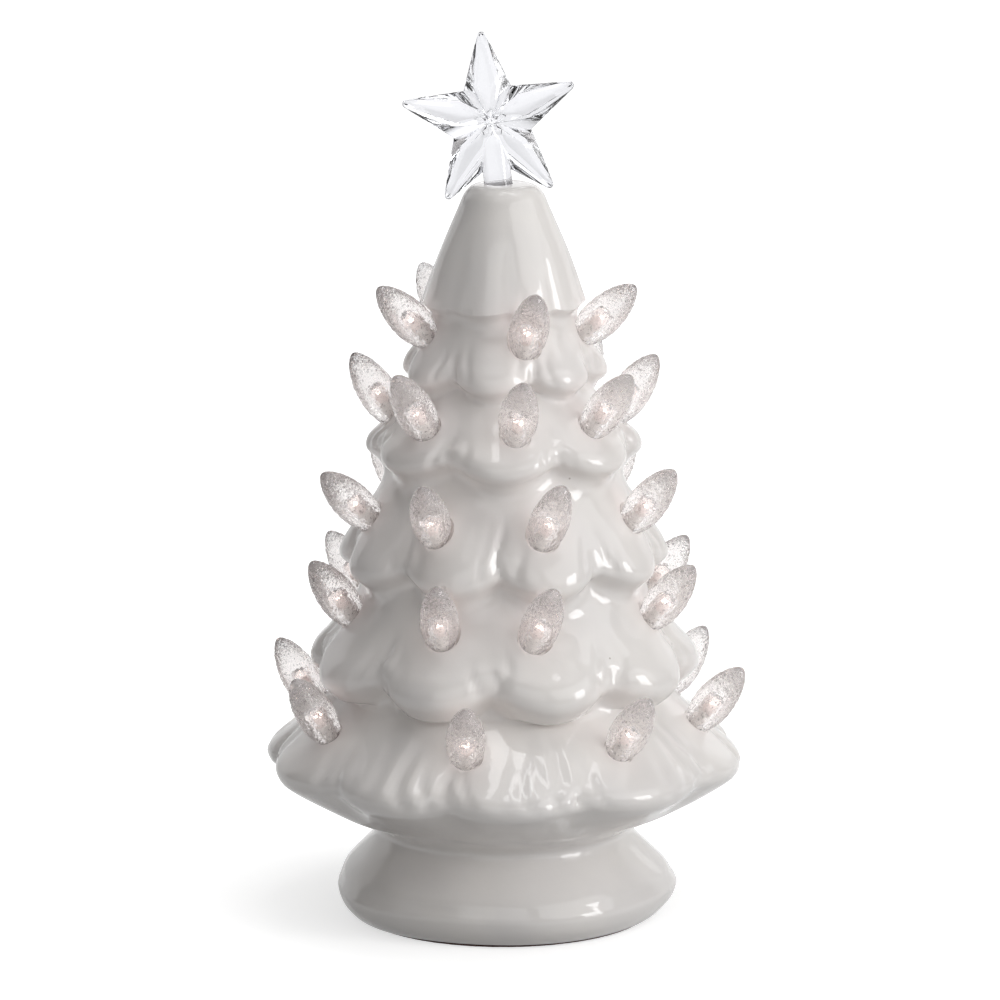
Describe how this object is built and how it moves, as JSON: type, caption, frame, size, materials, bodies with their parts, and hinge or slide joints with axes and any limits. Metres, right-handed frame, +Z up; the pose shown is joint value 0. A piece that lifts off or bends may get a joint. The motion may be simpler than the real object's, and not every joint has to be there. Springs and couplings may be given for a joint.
{
  "type": "ceramic christmas tree",
  "caption": "White glazed ceramic tabletop tree with scalloped tiers, clear push-in bulbs over small lamps, a clear star on a stem and a battery base.",
  "frame": {"origin": "on the floor, under the tree's axis", "axes": "+Z up, -Y the front, +X to the right"},
  "size_m": [0.1294, 0.1291, 0.2414],
  "materials": {
    "glaze": "high-gloss white glaze",
    "clear_acrylic": "clear polished acrylic",
    "clear_plastic": "clear moulded plastic with a fine texture",
    "lamp_resin": "warm white lamp resin",
    "felt": "dark brown felt",
    "seal_foam": "soft black foam",
    "holder_rubber": "pale silicone rubber",
    "case_plastic": "fine moulded texture",
    "knob_black": "satin black plastic",
    "component_black": "moulded black",
    "board_green": "solder-masked board",
    "plated_steel": "nickel plated",
    "cell_jacket": "plain wrapped jacket",
    "wire_jacket": "pale insulation"
  },
  "bodies": {
    "tree": {"tree_body": "glaze", "foot_pad": "felt", "case_seal": "seal_foam", "battery_case": "case_plastic", "battery_cells": "cell_jacket", "battery_springs": "plated_steel", "battery_contacts": "plated_steel", "battery_leads": "wire_jacket", "control_board": "board_green", "board_screws": "plated_steel", "board_components": "component_black", "switch_housing": "component_black", "light_holders": "holder_rubber", "light_lamps": "lamp_resin", "trunk_lead": "wire_jacket", "light_wire_1": "wire_jacket", "light_wire_2": "wire_jacket", "light_wire_3": "wire_jacket", "light_wire_4": "wire_jacket", "light_wire_5": "wire_jacket"},
    "star": {"star_topper": "clear_acrylic"},
    "bulb_1_1": {"bulb_1_1": "clear_plastic"},
    "bulb_1_2": {"bulb_1_2": "clear_plastic"},
    "bulb_1_3": {"bulb_1_3": "clear_plastic"},
    "bulb_1_4": {"bulb_1_4": "clear_plastic"},
    "bulb_1_5": {"bulb_1_5": "clear_plastic"},
    "bulb_2_1": {"bulb_2_1": "clear_plastic"},
    "bulb_2_2": {"bulb_2_2": "clear_plastic"},
    "bulb_2_3": {"bulb_2_3": "clear_plastic"},
    "bulb_2_4": {"bulb_2_4": "clear_plastic"},
    "bulb_2_5": {"bulb_2_5": "clear_plastic"},
    "bulb_2_6": {"bulb_2_6": "clear_plastic"},
    "bulb_2_7": {"bulb_2_7": "clear_plastic"},
    "bulb_3_1": {"bulb_3_1": "clear_plastic"},
    "bulb_3_2": {"bulb_3_2": "clear_plastic"},
    "bulb_3_3": {"bulb_3_3": "clear_plastic"},
    "bulb_3_4": {"bulb_3_4": "clear_plastic"},
    "bulb_3_5": {"bulb_3_5": "clear_plastic"},
    "bulb_3_6": {"bulb_3_6": "clear_plastic"},
    "bulb_3_7": {"bulb_3_7": "clear_plastic"},
    "bulb_4_1": {"bulb_4_1": "clear_plastic"},
    "bulb_4_2": {"bulb_4_2": "clear_plastic"},
    "bulb_4_3": {"bulb_4_3": "clear_plastic"},
    "bulb_4_4": {"bulb_4_4": "clear_plastic"},
    "bulb_4_5": {"bulb_4_5": "clear_plastic"},
    "bulb_4_6": {"bulb_4_6": "clear_plastic"},
    "bulb_4_7": {"bulb_4_7": "clear_plastic"},
    "bulb_4_8": {"bulb_4_8": "clear_plastic"},
    "bulb_5_1": {"bulb_5_1": "clear_plastic"},
    "bulb_5_2": {"bulb_5_2": "clear_plastic"},
    "bulb_5_3": {"bulb_5_3": "clear_plastic"},
    "bulb_5_4": {"bulb_5_4": "clear_plastic"},
    "bulb_5_5": {"bulb_5_5": "clear_plastic"},
    "bulb_5_6": {"bulb_5_6": "clear_plastic"},
    "bulb_5_7": {"bulb_5_7": "clear_plastic"},
    "bulb_5_8": {"bulb_5_8": "clear_plastic"},
    "switch_knob": {"switch_knob": "knob_black"},
    "battery_door": {"battery_door": "case_plastic"},
    "door_screw": {"door_screw": "plated_steel"}
  },
  "joints": [
    {"name": "star_lift", "type": "slide", "parent": "tree", "child": "star", "axis": [-0.1132, 0, 0.9936], "range_m": [0, 0.014]},
    {"name": "bulb_1_1_pull", "type": "slide", "parent": "tree", "child": "bulb_1_1", "axis": [-0.6607, -0.2147, 0.7193], "range_m": [0, 0.012]},
    {"name": "bulb_1_2_pull", "type": "slide", "parent": "tree", "child": "bulb_1_2", "axis": [0.1541, -0.5375, 0.829], "range_m": [0, 0.012]},
    {"name": "bulb_1_3_pull", "type": "slide", "parent": "tree", "child": "bulb_1_3", "axis": [0.698, -0.174, 0.6947], "range_m": [0, 0.012]},
    {"name": "bulb_1_4_pull", "type": "slide", "parent": "tree", "child": "bulb_1_4", "axis": [0.3214, 0.5567, 0.766], "range_m": [0, 0.012]},
    {"name": "bulb_1_5_pull", "type": "slide", "parent": "tree", "child": "bulb_1_5", "axis": [-0.4301, 0.4777, 0.766], "range_m": [0, 0.012]},
    {"name": "bulb_2_1_pull", "type": "slide", "parent": "tree", "child": "bulb_2_1", "axis": [-0.5296, 0.0185, 0.848], "range_m": [0, 0.012]},
    {"name": "bulb_2_2_pull", "type": "slide", "parent": "tree", "child": "bulb_2_2", "axis": [-0.409, -0.3814, 0.829], "range_m": [0, 0.012]},
    {"name": "bulb_2_3_pull", "type": "slide", "parent": "tree", "child": "bulb_2_3", "axis": [0.1163, -0.547, 0.829], "range_m": [0, 0.012]},
    {"name": "bulb_2_4_pull", "type": "slide", "parent": "tree", "child": "bulb_2_4", "axis": [0.5163, -0.3353, 0.788], "range_m": [0, 0.012]},
    {"name": "bulb_2_5_pull", "type": "slide", "parent": "tree", "child": "bulb_2_5", "axis": [0.5578, -0.039, 0.829], "range_m": [0, 0.012]},
    {"name": "bulb_2_6_pull", "type": "slide", "parent": "tree", "child": "bulb_2_6", "axis": [0.3705, 0.4917, 0.788], "range_m": [0, 0.012]},
    {"name": "bulb_2_7_pull", "type": "slide", "parent": "tree", "child": "bulb_2_7", "axis": [-0.2602, 0.558, 0.788], "range_m": [0, 0.012]},
    {"name": "bulb_3_1_pull", "type": "slide", "parent": "tree", "child": "bulb_3_1", "axis": [-0.4353, 0.4353, 0.788], "range_m": [0, 0.012]},
    {"name": "bulb_3_2_pull", "type": "slide", "parent": "tree", "child": "bulb_3_2", "axis": [-0.6571, -0.2926, 0.6947], "range_m": [0, 0.012]},
    {"name": "bulb_3_3_pull", "type": "slide", "parent": "tree", "child": "bulb_3_3", "axis": [-0.1719, -0.5621, 0.809], "range_m": [0, 0.012]},
    {"name": "bulb_3_4_pull", "type": "slide", "parent": "tree", "child": "bulb_3_4", "axis": [0.2963, -0.4393, 0.848], "range_m": [0, 0.012]},
    {"name": "bulb_3_5_pull", "type": "slide", "parent": "tree", "child": "bulb_3_5", "axis": [0.5749, -0.256, 0.7771], "range_m": [0, 0.012]},
    {"name": "bulb_3_6_pull", "type": "slide", "parent": "tree", "child": "bulb_3_6", "axis": [0.4353, 0.4353, 0.788], "range_m": [0, 0.012]},
    {"name": "bulb_3_7_pull", "type": "slide", "parent": "tree", "child": "bulb_3_7", "axis": [0, 0.6157, 0.788], "range_m": [0, 0.012]},
    {"name": "bulb_4_1_pull", "type": "slide", "parent": "tree", "child": "bulb_4_1", "axis": [-0.5436, 0.289, 0.788], "range_m": [0, 0.012]},
    {"name": "bulb_4_2_pull", "type": "slide", "parent": "tree", "child": "bulb_4_2", "axis": [-0.545, -0.2202, 0.809], "range_m": [0, 0.012]},
    {"name": "bulb_4_3_pull", "type": "slide", "parent": "tree", "child": "bulb_4_3", "axis": [-0.0646, -0.526, 0.848], "range_m": [0, 0.012]},
    {"name": "bulb_4_4_pull", "type": "slide", "parent": "tree", "child": "bulb_4_4", "axis": [0.2966, -0.4568, 0.8387], "range_m": [0, 0.012]},
    {"name": "bulb_4_5_pull", "type": "slide", "parent": "tree", "child": "bulb_4_5", "axis": [0.5785, -0.2106, 0.788], "range_m": [0, 0.012]},
    {"name": "bulb_4_6_pull", "type": "slide", "parent": "tree", "child": "bulb_4_6", "axis": [0.5708, 0.2306, 0.788], "range_m": [0, 0.012]},
    {"name": "bulb_4_7_pull", "type": "slide", "parent": "tree", "child": "bulb_4_7", "axis": [0.2602, 0.558, 0.788], "range_m": [0, 0.012]},
    {"name": "bulb_4_8_pull", "type": "slide", "parent": "tree", "child": "bulb_4_8", "axis": [-0.1902, 0.5855, 0.788], "range_m": [0, 0.012]},
    {"name": "bulb_5_1_pull", "type": "slide", "parent": "tree", "child": "bulb_5_1", "axis": [-0.5119, 0.1372, 0.848], "range_m": [0, 0.012]},
    {"name": "bulb_5_2_pull", "type": "slide", "parent": "tree", "child": "bulb_5_2", "axis": [-0.4524, -0.3287, 0.829], "range_m": [0, 0.012]},
    {"name": "bulb_5_3_pull", "type": "slide", "parent": "tree", "child": "bulb_5_3", "axis": [0.0103, -0.5877, 0.809], "range_m": [0, 0.012]},
    {"name": "bulb_5_4_pull", "type": "slide", "parent": "tree", "child": "bulb_5_4", "axis": [0.4009, -0.4299, 0.809], "range_m": [0, 0.012]},
    {"name": "bulb_5_5_pull", "type": "slide", "parent": "tree", "child": "bulb_5_5", "axis": [0.6049, -0.1735, 0.7771], "range_m": [0, 0.012]},
    {"name": "bulb_5_6_pull", "type": "slide", "parent": "tree", "child": "bulb_5_6", "axis": [0.5221, 0.3263, 0.788], "range_m": [0, 0.012]},
    {"name": "bulb_5_7_pull", "type": "slide", "parent": "tree", "child": "bulb_5_7", "axis": [0.128, 0.6022, 0.788], "range_m": [0, 0.012]},
    {"name": "bulb_5_8_pull", "type": "slide", "parent": "tree", "child": "bulb_5_8", "axis": [-0.3263, 0.5221, 0.788], "range_m": [0, 0.012]},
    {"name": "switch_slide", "type": "slide", "parent": "tree", "child": "switch_knob", "axis": [0, 1, 0], "range_m": [0, 0.004]},
    {"name": "battery_door_hinge", "type": "hinge", "parent": "tree", "child": "battery_door", "pos_m": [0, -0.0236, 0.003], "axis": [-1, 0, 0], "range_deg": [0, 90]},
    {"name": "door_screw_turn", "type": "hinge", "parent": "battery_door", "child": "door_screw", "pos_m": [0, 0.02795, 0.002], "axis": [0, 0, 1], "continuous": true}
  ]
}
